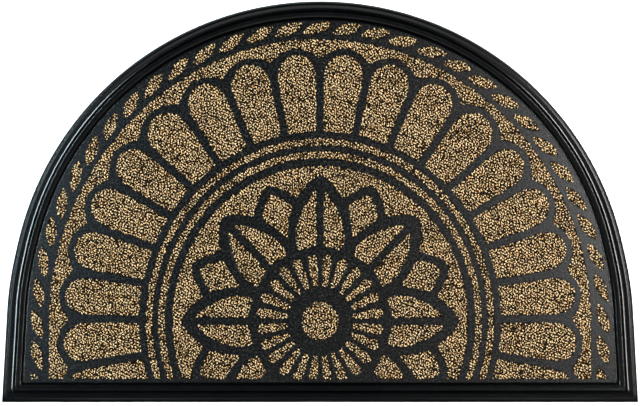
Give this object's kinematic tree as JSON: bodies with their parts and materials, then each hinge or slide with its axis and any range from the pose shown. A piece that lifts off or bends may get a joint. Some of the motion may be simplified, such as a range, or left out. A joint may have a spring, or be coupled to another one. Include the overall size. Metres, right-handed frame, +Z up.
{
  "type": "half-round doormat",
  "caption": "Half-round rubber doormat with a stepped moulded rim and speckled short pile laid out as a rosette, an arcade of windows and a border of leaves.",
  "frame": {"origin": "middle of the mat's bounding box, on the floor", "axes": "+X along the long straight edge, +Y from the straight edge towards the rounded one, +Z up out of the pile"},
  "size_m": [0.762, 0.48, 0.0084],
  "materials": {
    "rubber": "black moulded rubber, satin, with a fine grain",
    "pile": "short stiff pile, speckled cream, ochre, brown and near black"
  },
  "bodies": {
    "root": {"rubber_tray": "rubber", "pile_carpet": "pile", "rubber_tracery": "rubber"}
  },
  "joints": []
}
